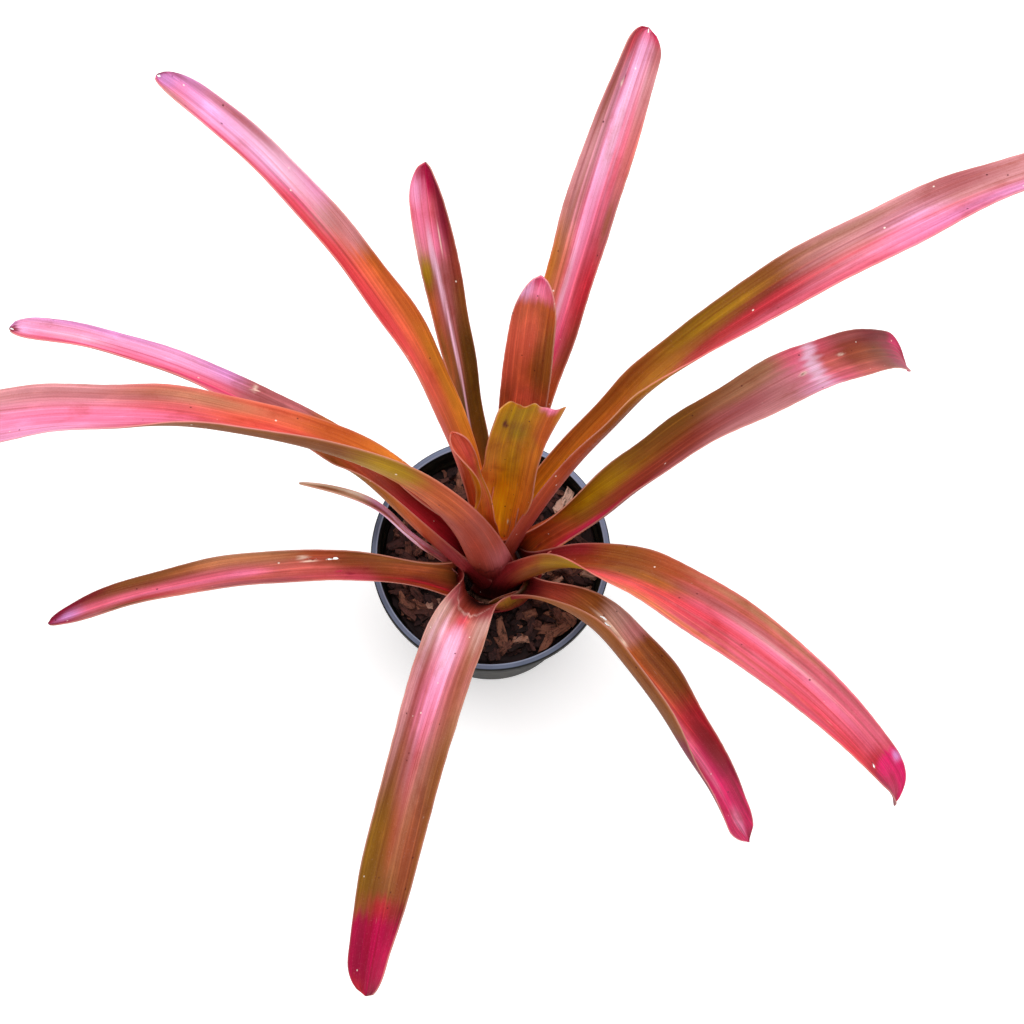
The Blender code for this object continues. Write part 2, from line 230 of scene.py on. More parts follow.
pot_profile = [
    (0.0, 0.0),
    (BASE_RADIUS - 0.0012, 0.0),
    (BASE_RADIUS, 0.0012),
    (BASE_RADIUS + 0.0006, 0.003),
    (COLLAR - LEDGE, COLLAR_FOOT - 0.0015),
    (COLLAR - 0.0012, COLLAR_FOOT - 0.0003),
    (COLLAR - 0.0004, COLLAR_FOOT + 0.0006),
    (COLLAR, POT_HEIGHT - 0.0018),
    (RIM_RADIUS - 0.0016, POT_HEIGHT - 0.0018),
    (RIM_RADIUS - 0.0016, POT_HEIGHT - LIP_DEPTH),
    (RIM_RADIUS - 0.0003, POT_HEIGHT - LIP_DEPTH),
    (RIM_RADIUS, POT_HEIGHT - LIP_DEPTH + 0.0004),
    (RIM_RADIUS, POT_HEIGHT - 0.0012),
    (RIM_RADIUS - 0.0004, POT_HEIGHT - 0.0003),
    (RIM_RADIUS - 0.0012, POT_HEIGHT),
    (COLLAR - 0.0001, POT_HEIGHT - 0.0003),
    (COLLAR - WALL + 0.0004, POT_HEIGHT - 0.0007),
    (COLLAR - WALL, POT_HEIGHT - 0.0016),
    (COLLAR - WALL - 0.0002, POT_HEIGHT - 0.0062),
    (COLLAR - WALL - 0.0008, POT_HEIGHT - 0.0066),
    (COLLAR - WALL - 0.0009, POT_HEIGHT - 0.0072),
    (COLLAR - WALL - 0.0004, COLLAR_FOOT + 0.0008),
    (inner_radius(COLLAR_FOOT), COLLAR_FOOT - 0.0008),
    (inner_radius(FLOOR), FLOOR),
    (0.0, FLOOR),
]
pot = new_piece("pot", turned(pot_profile, 160), plastic, ["pot"])
pot.data.set_sharp_from_angle(angle=math.radians(38))


# ---- Bark bed and loose chips
# The pot is filled with graded bark. A rough bed closes it, and over a thousand chips of
# split bark lie on the bed in every direction, with the larger and paler ones on top.
BED_DIP = 0.004
BED_GAP = 0.0004
CHIP_MARGIN = 0.006
FINE_CHIPS = 800
LARGE_CHIPS = 330
FINE_SIZES = [(0.004, 0.009), (0.002, 0.004), (0.0014, 0.0032)]
LARGE_SIZES = [(0.007, 0.019), (0.0030, 0.0064), (0.0022, 0.0046)]
chance = random.Random(11)

bark, shader, place = new_finish("bark", Roughness=0.8, Specular_IOR_Level=0.3)
tone = place.stored("tone", 2)
along_chip = place.stored("along_chip", 1)
fibres = along_chip.scaled(160, 900, 900).noise(1.0, 4, 0.6)
flakes = along_chip.scaled(420, 420, 420).noise(1.0, 4, 0.6)
chip_colour = place.node("ValToRGB", {"stops": [
    (0.0, colour(26, 16, 17)), (0.25, colour(70, 44, 43)), (0.50, colour(108, 66, 56)),
    (0.75, colour(160, 106, 84)), (1.0, colour(240, 202, 182))]}, {"Fac": tone})
chip_colour = chip_colour.mixed(colour(34, 17, 15), fibres.between(0.48, 0.66) * 0.7)
chip_colour = chip_colour.mixed(colour(16, 8, 8), flakes.between(0.54, 0.68) * 0.7)
feed(shader,
     Base_Color=chip_colour,
     Normal=bumped(fibres + flakes, 0.9, 0.0010))

bm = bmesh.new()
bed_edge = inner_radius(BED_TOP - BED_DIP) - BED_GAP
bmesh.ops.create_circle(bm, cap_ends=True, segments=72, radius=bed_edge)
bmesh.ops.triangulate(bm, faces=bm.faces[:])
bmesh.ops.subdivide_edges(bm, edges=bm.edges[:], cuts=5, use_grid_fill=True)
bed_shade_tone = bm.verts.layers.float.new("tone")
# The bed is painted nearly black, as painted shade in the gaps between the chips.
for vert in bm.verts:
    vert[bed_shade_tone] = chance.uniform(0.0, 0.08)
    vert.co.z = BED_TOP - BED_DIP + chance.uniform(-0.001, 0.001)
bottom = bmesh.ops.extrude_face_region(bm, geom=bm.faces[:])
narrowing = inner_radius(FLOOR) / inner_radius(BED_TOP) * 0.998
for vert in bottom["geom"]:
    if isinstance(vert, bmesh.types.BMVert):
        vert.co = (vert.co.x * narrowing, vert.co.y * narrowing, FLOOR + 0.0003)
bmesh.ops.recalc_face_normals(bm, faces=bm.faces)
new_piece("growing_medium", bm, bark, ["growing_medium"], smooth=False)


def chip_shape(length, width, thick, splits):
    """One split chip: a block roughened, bent and narrowed towards its ends."""
    bm = bmesh.new()
    bmesh.ops.create_cube(bm, size=1.0)
    lengthways = [e for e in bm.edges if abs((e.verts[0].co - e.verts[1].co).x) > 0.5]
    bmesh.ops.subdivide_edges(bm, edges=lengthways, cuts=splits)
    place_layer = bm.verts.layers.float_vector.new("along_chip")
    bow = chance.uniform(-0.55, 0.55)
    arch = chance.uniform(-0.5, 0.5)
    lean = chance.uniform(-0.4, 0.4)
    start = Vector([chance.uniform(0, 9) for _ in range(3)])
    for vert in bm.verts:
        end = abs(vert.co.x) * 2
        vert.co.y *= 1 - chance.uniform(0.1, 0.6) * end**2
        vert.co.z *= 1 - chance.uniform(0.1, 0.6) * end**2
        vert.co.y += bow * (0.5 - end**2 / 2) + chance.uniform(-0.16, 0.16)
        vert.co.z += lean * vert.co.y + arch * (0.5 - end**2 / 2) + chance.uniform(-0.16, 0.16)
        vert.co.x += chance.uniform(-0.07, 0.07)
        vert.co = (vert.co.x * length, vert.co.y * width, vert.co.z * thick)
        vert[place_layer] = vert.co + start
    return bm


bed_radius = inner_radius(BED_TOP)


def scattered(name, places, nodes):
    """Many chips as one piece: places lists centre, size, turn, tilt and tone."""
    whole = bmesh.new()
    whole.verts.layers.float.new("tone")
    whole.verts.layers.float_vector.new("along_chip")
    for centre, size, turn, tilt, tone_value in places:
        chip = chip_shape(*size, 3)
        layer = chip.verts.layers.float.new("tone")
        for vert in chip.verts:
            vert[layer] = min(1, max(0, tone_value + chance.uniform(-0.06, 0.06)))
        turning = Matrix.Rotation(turn, 4, "Z") @ Matrix.Rotation(tilt, 4, (chance.uniform(-1, 1), 1, 0))
        bmesh.ops.transform(chip, matrix=Matrix.Translation(centre) @ turning, verts=chip.verts)
        for vert in chip.verts:
            inside = min(1, (bed_radius - 0.0008) / max(0.001, math.hypot(vert.co.x, vert.co.y)))
            vert.co = (vert.co.x * inside, vert.co.y * inside, vert.co.z)
        mesh = bpy.data.meshes.new("chip")
        chip.to_mesh(mesh)
        chip.free()
        whole.from_mesh(mesh)
        bpy.data.meshes.remove(mesh)
    bmesh.ops.recalc_face_normals(whole, faces=whole.faces)
    return new_piece(name, whole, bark, nodes, smooth=False)


def strewn(count, hollow, sizes, heights, tilt, tones):
    """Chips at random over the bed, outside a hollow at its middle. Sizes and heights are
    ranges in metres."""
    chips = []
    for _ in range(count):
        radius = math.sqrt(chance.uniform(hollow**2, (bed_radius - CHIP_MARGIN)**2))
        angle = chance.uniform(0, math.tau)
        size = [chance.uniform(*span) for span in sizes]
        centre = (radius * math.cos(angle), radius * math.sin(angle), BED_TOP + chance.uniform(*heights))
        chips.append((centre, size, chance.uniform(0, math.tau), chance.uniform(-tilt, tilt),
                      chance.betavariate(*tones)))
    return chips


fine = strewn(FINE_CHIPS, 0.020, FINE_SIZES, (-0.0048, -0.0012), 0.7, (1.6, 3.6))
scattered("fine_bark", fine, [])
large = strewn(LARGE_CHIPS, 0.026, LARGE_SIZES, (-0.0015, 0.0030), 0.6, (1.5, 2.3))
# Each pale chip: its place, length and width in metres, and its turn.
pale_chips = [(0.058, 0.049, 0.024, 0.0075, 1.05), (0.050, 0.040, 0.017, 0.006, 0.9),
              (0.047, -0.052, 0.022, 0.006, 0.62), (0.056, -0.047, 0.019, 0.0055, -0.75),
              (0.038, -0.060, 0.018, 0.0065, 1.2), (0.064, -0.030, 0.016, 0.006, 0.3)]
for x, y, length, width, turn in pale_chips:
    large.append(((x, y, BED_TOP + 0.0042), (length, width, 0.0028), turn, 0.1, 0.92 if y > 0 else 0.66))
chip_nodes = [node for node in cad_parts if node.startswith("bark_chip")]
scattered("bark_chips", large, sorted(chip_nodes))


# ---- Stem
# The short woody stem that the leaves grow from. It is rooted in the bark and hidden by the
# sheaths, and its surface carries the rings of old leaf scars.
CROWN = Vector((0.002, -0.009, 0))
STEM_FOOT = BED_TOP - 0.030
STEM_TOP = BED_TOP + 0.034
STEM_RADIUS = 0.0052
SCARS = 10
stem_finish, shader, place = new_finish("stem", Roughness=0.7)
rings = place.scaled(20, 20, 400).noise(1.0, 3)
feed(shader,
     Base_Color=rings.blend(colour(96, 48, 34), colour(140, 86, 52)),
     Normal=bumped(rings, 0.5, 0.0006))
stem_profile = [(0.0, STEM_FOOT), (STEM_RADIUS - 0.0003, STEM_FOOT)]
for scar in range(SCARS):
    share = scar / (SCARS - 1)
    height = STEM_FOOT + 0.001 + (STEM_TOP - STEM_FOOT - 0.003) * share
    radius = STEM_RADIUS - 0.0002 * share
    stem_profile += [(radius, height), (radius - 0.0003, height + 0.0025)]
stem_profile += [(0.0022, STEM_TOP - 0.0002), (0.0, STEM_TOP)]
bm = turned(stem_profile, 32)
bmesh.ops.translate(bm, verts=bm.verts, vec=CROWN)
new_piece("stem", bm, stem_finish, ["stem"])


# ---- Leaves: how each is grown
# Every leaf is one long strap: a sheath that wraps the stem, then a guttered blade that
# arches out, rolls and twists to its tip. A flat grid is bent to that shape, painted with
# bands and strokes of colour on both faces and given the thickness of a leaf.
SHEATH_STEP = 0.0016
INNERMOST_SHEATH_RADIUS = 0.006
INNERMOST_FOOT = BED_TOP + 0.0225
FOOT_STEP = 0.0013
LEAF_THICKNESS = 0.0008
COLUMNS = 40
FEWEST_ROWS = 140
ROW_LENGTH = 2.2
# Painted light: how much the leaves' colours are brightened near the crown.
CROWN_PAINTED_LIGHT = 0.53


def paint(red, green, blue):
    """A paint of the leaves as three linear numbers."""
    return np.array(colour(red, green, blue)[:3])


black = paint(14, 6, 6)
maroon = paint(90, 18, 22)
garnet = paint(124, 30, 34)
brick = paint(144, 58, 42)
russet = paint(166, 76, 42)
rust = paint(186, 88, 36)
umber = paint(134, 76, 32)
bronze = paint(154, 88, 30)
tan = paint(204, 120, 40)
honey = paint(188, 126, 26)
gold = paint(202, 138, 8)
moss = paint(164, 126, 2)
olive = paint(128, 84, 18)
dark_olive = paint(94, 60, 12)
apricot = paint(216, 126, 76)
coral = paint(222, 96, 70)
crimson = paint(218, 62, 74)
red = paint(184, 36, 50)
wine = paint(158, 0, 56)
ruby = paint(182, 0, 68)
cerise = paint(206, 80, 100)
salmon = paint(206, 100, 92)
rose = paint(226, 100, 124)
pink = paint(240, 124, 162)
lilac = paint(238, 164, 206)
mist = paint(244, 198, 226)
violet = paint(206, 136, 196)
blush = paint(206, 138, 142)
mauve = paint(170, 92, 96)
sand = paint(168, 118, 84)
grey_pink = paint(196, 156, 148)
magenta = paint(212, 30, 96)
hot_magenta = paint(226, 8, 102)
plum = paint(130, 10, 46)
cream = paint(246, 226, 206)
dry = paint(210, 180, 152)
bark_brown = paint(80, 42, 28)


def ramp(values, low, high):
    """How far the values are on the way from low to high, kept between 0 and 1."""
    return np.clip((values - low) / (high - low), 0, 1)


def smooth(share):
    """A share from 0 to 1 with an even start and stop."""
    return share * share * (3 - 2 * share)


def pointing(rise, heading):
    """Directions of length 1 that rise and head by these angles."""
    return np.stack([np.cos(rise) * np.cos(heading), np.cos(rise) * np.sin(heading), np.sin(rise)])


def eased(stations, values, places):
    """Smooth curve through values at the stations, read at the places."""
    stations = np.array(stations, float)
    values = np.array(values, float)
    slopes = np.gradient(values, stations)
    span = np.clip(np.searchsorted(stations, places, side="right") - 1, 0, len(stations) - 2)
    width = stations[span + 1] - stations[span]
    q = ramp(places, stations[span], stations[span + 1])
    start = values[span] * (2 * q**3 - 3 * q**2 + 1) + slopes[span] * width * (q**3 - 2 * q**2 + q)
    end = values[span + 1] * (3 * q**2 - 2 * q**3) + slopes[span + 1] * width * (q**3 - q**2)
    return start + end


def leaf_points(order, shape, across, along):
    """Points of a leaf's middle surface, half its width there, and where its face looks and
    it heads. A shape is in millimetres and degrees: its place round the stem, its length, the
    lengths of sheath and tip, and half the angle that the sheath wraps. Rise, turn aside, half
    width, curl across and roll are given at the sheath's end, at 40 and 70 percent of the
    length and at the tip. Point is how sharp the tip is, apex moves it aside, and a hook bends
    the leaf's end by (turn, drop, length)."""
    radius = INNERMOST_SHEATH_RADIUS + SHEATH_STEP * order
    length = shape["length"] / 1000
    stations = (0.0, shape["sheath"] / shape["length"], 0.4, 0.7, 1.0)

    def angle(first, name, places):
        return np.radians(eased(stations, (first, *shape[name]), places))

    fine = np.linspace(0, 1, 401)
    azimuth = math.radians(shape["azimuth"])
    hook_turn, hook_drop, hook_length = shape.get("hook", (0, 0, 30))
    into_hook = ramp(fine * shape["length"], shape["length"] - hook_length, shape["length"])
    rise = angle(88, "rise", fine) - math.radians(hook_drop) * into_hook
    heading = azimuth + angle(0, "turn", fine) + math.radians(hook_turn) * into_hook
    course = pointing(rise, heading)
    path = np.zeros((3, len(fine)))
    path[:, 1:] = np.cumsum((course[:, 1:] + course[:, :-1]) / 2, axis=1) * length / (len(fine) - 1)
    path += np.array([[CROWN.x + radius * math.cos(azimuth)],
                      [CROWN.y + radius * math.sin(azimuth)], [INNERMOST_FOOT - FOOT_STEP * order]])
    centre = np.stack([np.interp(along, fine, row) for row in path], axis=1)
    rise = np.interp(along, fine, rise)
    heading = np.interp(along, fine, heading)
    ahead = pointing(rise, heading).T
    side = np.stack([-np.sin(heading), np.cos(heading), 0 * heading], axis=1)
    face = np.cross(ahead, side)
    roll = angle(0, "roll", along)[:, None]
    side, face = side * np.cos(roll) + face * np.sin(roll), face * np.cos(roll) - side * np.sin(roll)
    curl = angle(shape["wrap"], "curl", along)
    base_half_width = radius * math.radians(shape["wrap"])
    half_widths = (base_half_width, *(value / 1000 for value in shape["half_width"]))
    half_width = eased(stations, half_widths, along)
    into_tip = ramp(along * shape["length"], shape["length"] - shape["tip"], shape["length"])
    taper = (1 - into_tip**2)**shape.get("point", 0.5)
    aside = shape.get("apex", 0) * half_width * (1 - taper)
    half_width = np.maximum(half_width * taper, 0.0003)
    bend = half_width / curl
    sideways = (bend * np.sin(curl * across) + aside)[:, None]
    inwards = (bend * (1 - np.cos(curl * across)))[:, None]
    return centre + sideways * side + inwards * face, half_width, face, ahead


def soft_waves(source, places, count, slowest, fastest):
    """A sum of gentle waves of random pace along the places."""
    total = np.zeros(len(places))
    for _ in range(count):
        total += np.sin(places * source.uniform(slowest, fastest) + source.uniform(0, 6.3))
    return total / math.sqrt(count)


def painted(bands, strokes, across, along, ragged, length, glow):
    """Colour of each point, from bands of (percent of length, left, centre, right colour), the
    last colour named going on to the right margin, and from soft strokes of (percent of
    length, half length, place across, half width, colour, strength), all in percent, which may
    end with a slant and a bow: how far the stroke shifts towards the margins."""
    percent = along * 100 + ragged
    places = np.array([band[0] for band in bands], float)
    columns = np.array([(*band[1:], band[-1], band[-1])[:3] for band in bands])
    span = np.clip(np.searchsorted(places, percent, side="right") - 1, 0, len(places) - 2)
    q = smooth(ramp(percent, places[span], places[span + 1]))[:, None, None]
    rows = columns[span] * (1 - q) + columns[span + 1] * q
    left = smooth(ramp(across, 0, 0.8))[:, None]
    right = smooth(ramp(-across, 0, 0.8))[:, None]
    tints = rows[:, 0] * left + rows[:, 2] * right + rows[:, 1] * (1 - left - right)
    for place, reach, side, width, shade, strength, *shift in strokes:
        slant, bow = (*shift, 0, 0)[:2]
        middle = place + slant * across + bow * across**2
        away = ((percent - middle) / reach)**2 + ((across - side / 100) / (width / 100))**2
        share = (strength / 100 * np.exp(-away**1.5))[:, None]
        tints = tints * (1 - share) + shade * share
    # Painted light: colours are brightened near the crown, and by glow near the foot of upright leaves,
    # standing for light falling into the crown and passing through the leaves.
    crown_light = CROWN_PAINTED_LIGHT * np.exp(-(percent / 34)**2) + glow * np.exp(-(along * length / 125)**6)
    return np.clip(tints * (0.95 + crown_light)[:, None], 0, 1)


def leaf_skin(name, attribute, pale):
    """The finish of one face of the leaves: its paint under fine lines, bloom and specks."""
    finish, shader, place = new_finish(name, Specular_IOR_Level=0.14)
    body = place.stored(attribute, 0)
    blade = place.stored("blade", 1)
    margin = place.stored("margin", 2)
    fine = blade.scaled(1500, 14, 1).noise(1.0, 3, 0.65)
    broad = blade.scaled(560, 8, 1).noise(1.0, 2, 0.5)
    bloom = blade.scaled(70, 30, 1).noise(1.0, 4, 0.6)
    grain = blade.scaled(2200, 1200, 1).noise(1.0, 2, 0.6)
    scratch = blade.scaled(1200, 45, 1).noise(1.0, 1, 0.5)
    darker = [(fine, 0.52, 0.74, 0.36, (214, 144, 124)), (broad, 0.52, 0.74, 0.42, (204, 146, 108)),
              (bloom, 0.52, 0.76, 0.52, (196, 136, 84)), (grain, 0.50, 0.80, 0.42, (206, 160, 144))]
    for noise, low, high, share, shade in darker:
        body = body.mixed(colour(*shade), noise.between(low, high) * share, "MULTIPLY")
    for noise, low in ((fine, 0.30), (broad, 0.28), (bloom, 0.26)):
        body = body.mixed((1.45, 1.5, 1.5, 1.0), (1 - noise.between(low, 0.48)) * pale, "MULTIPLY")
    body = body.mixed(colour(255, 210, 216), (1 - grain.between(0.22, 0.40)) * pale * 0.14)
    body = body.mixed(colour(255, 226, 214), scratch.between(0.79, 0.85) * 0.4)
    cells = {"Vector": blade.scaled(230, 170, 1), "Scale": 1.0}
    apart = blade.node("TexVoronoi", {}, cells, 0)
    kind = blade.node("TexVoronoi", {}, cells, 1).part(0)
    speck = 1 - apart.between(0.06, 0.15)
    body = body.mixed(colour(70, 16, 22), speck * kind.between(0.90, 0.91) * 0.85)
    body = body.mixed(colour(255, 240, 226), speck * (1 - kind.between(0.06, 0.07)) * 0.85)
    body = body.mixed(colour(250, 176, 160), margin * 0.28)
    feed(shader,
         Base_Color=body,
         Roughness=0.40 + bloom * 0.14 + grain * 0.08,
         Normal=bumped(fine * 0.4 + broad * 0.8 + grain * 0.35, 0.40, 0.0007))
    return finish


upper_skin = leaf_skin("leaf_upper_face", "tint", 0.62)
lower_skin = leaf_skin("leaf_lower_face", "under", 0.45)
edge_skin = leaf_skin("leaf_margin", "edge", 0.3)


def cut_hole(bm, length, face, ahead, percent, middle, long, wide):
    """Cut one worn hole in a leaf and move its rim out to an even ellipse."""
    blade_layer = bm.verts.layers.float_vector["blade"]
    inside = {}
    for index, vert in enumerate(bm.verts):
        far = vert[blade_layer][1] * 1000 - percent * length / 100
        aside = vert[blade_layer][0] * 1000 - middle
        size = math.hypot(far / long, aside / wide)
        if size < 1.0:
            inside[vert] = (index, far, aside, max(size, 0.05))
    gone = [gap for gap in bm.faces if all(vert in inside for vert in gap.verts)]
    rims = {vert for gap in gone for vert in gap.verts
            if any(near not in gone for near in vert.link_faces)}
    for vert in rims:
        index, far, aside, size = inside[vert]
        outwards = ahead[index] * far - np.cross(face[index], ahead[index]) * aside
        vert.co += Vector(outwards * (1 / size - 1) / 1000)
    bmesh.ops.delete(bm, geom=gone, context="FACES")
    bm.verts.index_update()


def grow_leaf(name, order, shape, bands, strokes=(), under=(), under_strokes=(),
              waves=0.0008, nibbles=0.004, holes=(), notches=(), flare=0.0, glow=0.0):
    """Bend, paint and thicken one leaf. A hole is (percent of length, millimetres from the
    middle line, half length, half width), a notch in the tip is (depth in millimetres, place
    across and half width in percent), flare draws out one corner of the tip by so many
    millimetres, and glow is how much painted light is added to an upright leaf near the
    crown, standing for light that comes through it."""
    drift = random.Random(name)
    rows = max(FEWEST_ROWS, int(shape["length"] / ROW_LENGTH))
    bm = bmesh.new()
    bmesh.ops.create_grid(bm, x_segments=COLUMNS, y_segments=rows, size=1)
    grid = np.array([vert.co for vert in bm.verts])
    across = grid[:, 0]
    along = (grid[:, 1] + 1) / 2
    flat_along = along.copy()
    for depth, place, width in notches:
        dip = depth * np.exp(-((across - place / 100) / (width / 100))**2) / shape["length"]
        along = along - dip * ramp(flat_along, 0.9, 1)
    points, half_width, face, ahead = leaf_points(order, shape, across, np.clip(along, 0, 1))
    points += ahead * ((along - np.clip(along, 0, 1)) * shape["length"] / 1000)[:, None]
    metres = flat_along * shape["length"] / 1000
    above_sheath = ramp(flat_along, 0.2, 0.4)
    wave = soft_waves(drift, metres + across * 0.008, 4, 25, 110) * above_sheath * (0.35 + across**2)
    wave *= ramp(half_width, 0, 0.008)**2
    gutter = soft_waves(drift, across, 3, 9, 22) * 0.00012
    drawn_out = flare / 1000 * ramp(-across, 0.4, 1)**1.5 * ramp(flat_along, 0.86, 1)**2
    points += (ahead * 0.6 - np.cross(face, ahead)) * drawn_out[:, None]
    points += face * (wave * waves + gutter)[:, None]
    outer = np.sign(across) * ramp(np.abs(across), 0.85, 1)
    nibble = soft_waves(drift, metres, 6, 120, 900) * nibbles * above_sheath
    points -= np.cross(face, ahead) * (outer * nibble * half_width)[:, None]
    ragged = soft_waves(drift, across, 6, 6, 40) * 0.4
    tints = painted(bands, strokes, across, flat_along, ragged, shape["length"], glow)
    backs = tints * 0.82
    if under:
        backs = painted(under, under_strokes, across, flat_along, ragged, shape["length"], 0)
    layers = bm.verts.layers
    tint_layer = layers.float_color.new("tint")
    under_layer = layers.float_color.new("under")
    edge_layer = layers.float_color.new("edge")
    blade_layer = layers.float_vector.new("blade")
    margin_layer = layers.float.new("margin")
    offset = drift.uniform(0, 50)
    warm = (coral + cream) / 2
    for index, vert in enumerate(bm.verts):
        vert.co = points[index]
        vert[tint_layer] = (*tints[index], 1.0)
        vert[under_layer] = (*backs[index], 1.0)
        vert[edge_layer] = (*(tints[index] * 0.75 + warm * 0.25), 1.0)
        vert[blade_layer] = (across[index] * half_width[index], metres[index], offset)
        vert[margin_layer] = abs(across[index]) ** 60
    for hole in holes:
        cut_hole(bm, shape["length"], face, ahead, *hole)
    bmesh.ops.reverse_faces(bm, faces=bm.faces[:])
    piece = new_piece(name, bm, upper_skin, [name])
    piece.data.materials.append(lower_skin)
    piece.data.materials.append(edge_skin)
    shell = piece.modifiers.new("thickness", "SOLIDIFY")
    shell.thickness = LEAF_THICKNESS
    shell.offset = 0.0
    shell.material_offset = 1
    shell.material_offset_rim = 2
    return piece


# ---- Bent centre leaf
# The youngest full leaf stands upright in the middle. It is olive gold, and its top has been
# bent forward and torn short into a ruffled edge with a maroon bruise.
grow_leaf("leaf_centre_bent", 0, dict(
    azimuth=69, length=197, sheath=66, wrap=100, rise=(70, 79, 85, 63), turn=(1, -9, -6, -13),
    half_width=(15.5, 18, 17, 19), curl=(60, 40, 35, 45), roll=(4, 2, 16, 34), tip=4, point=0),
    bands=[(0, brick, brick, garnet), (15, rust, honey, brick), (35, gold, gold, bronze),
        (60, gold, gold, bronze), (80, gold, gold, tan), (88, gold, moss, rust), (93, gold, gold, rust),
        (100, gold, moss, rust)],
    strokes=[(54, 30, 80, 35, apricot, 45), (66, 18, 0, 26, moss, 50), (45, 22, -20, 30, honey, 50),
        (94, 5, 30, 50, moss, 80), (91, 2.2, 5, 50, olive, 45, 0, 6), (84, 4, -45, 30, honey, 60),
        (92.4, 1.3, 54, 7, maroon, 100), (91.2, 0.8, 44, 6, maroon, 100), (17, 1.6, -30, 6, black, 80),
        (26, 1.2, -32, 5, cream, 50), (50, 30, -70, 30, tan, 50), (100, 1.6, -68, 26, pink, 100),
        (99.8, 0.7, 20, 40, rust, 60), (99, 4, -100, 12, honey, 90)],
    notches=[(-4.6, 62, 28), (0.8, 8, 10), (-3.3, -20, 14), (-3.5, -60, 25), (-11.0, -105, 22)],
    waves=0.0005, flare=2, glow=0.72)

# ---- Upright centre leaf
# A pointed leaf behind the bent one, olive at its foot and salmon brown towards a pink tip.
grow_leaf("leaf_centre_back", 1, dict(
    azimuth=75, length=271, sheath=76, wrap=60, rise=(62, 66, 75, 65), turn=(0, -4, 4, -1),
    half_width=(9, 12, 15, 12), curl=(40, 35, 35, 40), roll=(0, 6, 3, 7), tip=32),
    bands=[(0, brick, brick, garnet), (30, tan, honey, umber), (50, tan, moss, bronze),
        (62, russet, coral, russet), (72, coral, rust, bronze), (82, coral, coral, bronze),
        (92, coral, russet, rust), (96, lilac, pink, rose), (100, pink, rose, pink)],
    strokes=[(80, 14, 15, 30, coral, 60), (74, 10, -40, 30, umber, 60), (91, 5, 60, 30, olive, 20),
        (97, 1.8, 75, 25, lilac, 90), (99, 1.2, 0, 70, magenta, 60)],
    glow=0.42)

# ---- Young side leaf
# A short folded leaf beside the centre, orange red inside with a blunt salmon tip.
grow_leaf("leaf_young", 2, dict(
    azimuth=121, length=184, sheath=60, wrap=90, rise=(84, 83, 78, 66), turn=(-1, -6, 11, 20),
    half_width=(9, 9, 7.5, 7.5), curl=(70, 70, 90, 75), roll=(0, -9, 45, -22), tip=13),
    bands=[(0, brick), (30, russet, tan), (50, tan, tan, apricot), (62, tan, rust, apricot), (75, tan, rust),
        (90, coral), (100, coral)],
    strokes=[(78, 14, -30, 35, crimson, 50), (60, 20, 90, 15, apricot, 80), (60, 20, -90, 15, gold, 70)],
    under=[(0, brick), (35, tan), (60, gold, tan), (80, gold, tan, coral), (100, coral)],
    glow=0.2)

# ---- Long right leaf
# The longest leaf on the right arches over the pot's rim, gold at its foot and lilac pink
# over the outer half.
grow_leaf("leaf_right_long", 3, dict(
    azimuth=27, length=515, sheath=70, wrap=120, rise=(53, 65, 11, -11), turn=(15, -8, -1, -8),
    half_width=(20.5, 17.5, 17.5, 12), curl=(115, 75, 35, 40), roll=(-40, -30, -15, -30), tip=60),
    bands=[(0, brick), (10, honey, honey, brick), (25, bronze, honey, brick), (40, bronze, honey),
        (50, olive, brick, crimson), (60, umber, garnet, rose), (70, blush, blush, rose),
        (76, blush, lilac, pink), (82, mauve, blush, pink), (90, blush, blush, lilac),
        (94, mauve, blush, lilac), (100, blush, lilac, magenta)],
    strokes=[(52, 8, 60, 35, moss, 55), (40, 10, 10, 25, honey, 60), (30, 8, 30, 25, rust, 60),
        (55, 9, -15, 22, red, 55), (66, 10, 0, 20, crimson, 35), (78, 12, -35, 35, pink, 70),
        (84, 8, -55, 30, violet, 50), (70, 6, 75, 20, olive, 50), (80, 6, 60, 30, mauve, 60),
        (74, 3, 35, 20, mauve, 50), (64, 16, 35, 5, garnet, 50), (72, 14, -5, 5, crimson, 50),
        (58, 10, 75, 6, umber, 60)],
    under=[(0, brick), (10, sand, mauve, brick), (25, russet, brick, russet), (36, honey, umber, bronze),
        (45, honey, olive, honey), (60, olive, rose), (100, blush, mauve)],
    glow=0.22)

# ---- Left back leaf
# A strap with a crease along its middle: crimson on one side, apricot then lilac on the
# other, with a small split tip.
grow_leaf("leaf_back_left", 4, dict(
    azimuth=126, length=422, sheath=75, wrap=55, rise=(74, 52, 24, 1), turn=(-14, -2, 8, 18),
    half_width=(11, 16, 14.5, 10.5), curl=(45, 40, 70, 45), roll=(38, 42, 17, 15), tip=28),
    bands=[(0, brick), (25, brick, russet, tan), (35, salmon, rust, tan), (45, coral, coral, rust),
        (55, crimson, coral, rust), (63, crimson, coral, rust), (67, crimson, salmon, blush),
        (71, crimson, blush), (75, rose, rose, lilac), (82, rose, lilac, mist), (90, pink, lilac),
        (96, blush, pink, violet), (100, magenta, violet, plum)],
    strokes=[(58, 13, 15, 25, crimson, 70), (68, 14, 45, 28, crimson, 80), (70, 2, -40, 30, umber, 25),
        (44, 12, -75, 30, honey, 60), (57, 6, -75, 25, rust, 60), (64, 3, -80, 25, olive, 30),
        (80, 7, -35, 40, mist, 75), (78, 12, -10, 5, rose, 50), (84, 10, -55, 5, mauve, 40),
        (88, 8, -10, 45, lilac, 80), (88, 9, -80, 22, mauve, 85), (93, 5, -10, 30, violet, 40),
        (76, 8, 10, 6, magenta, 50), (70, 20, 2, 3.5, garnet, 55), (86, 8, 75, 20, crimson, 60),
        (99, 1.5, 0, 80, violet, 80)],
    notches=[(2.5, 0, 40)],
    glow=0.25)

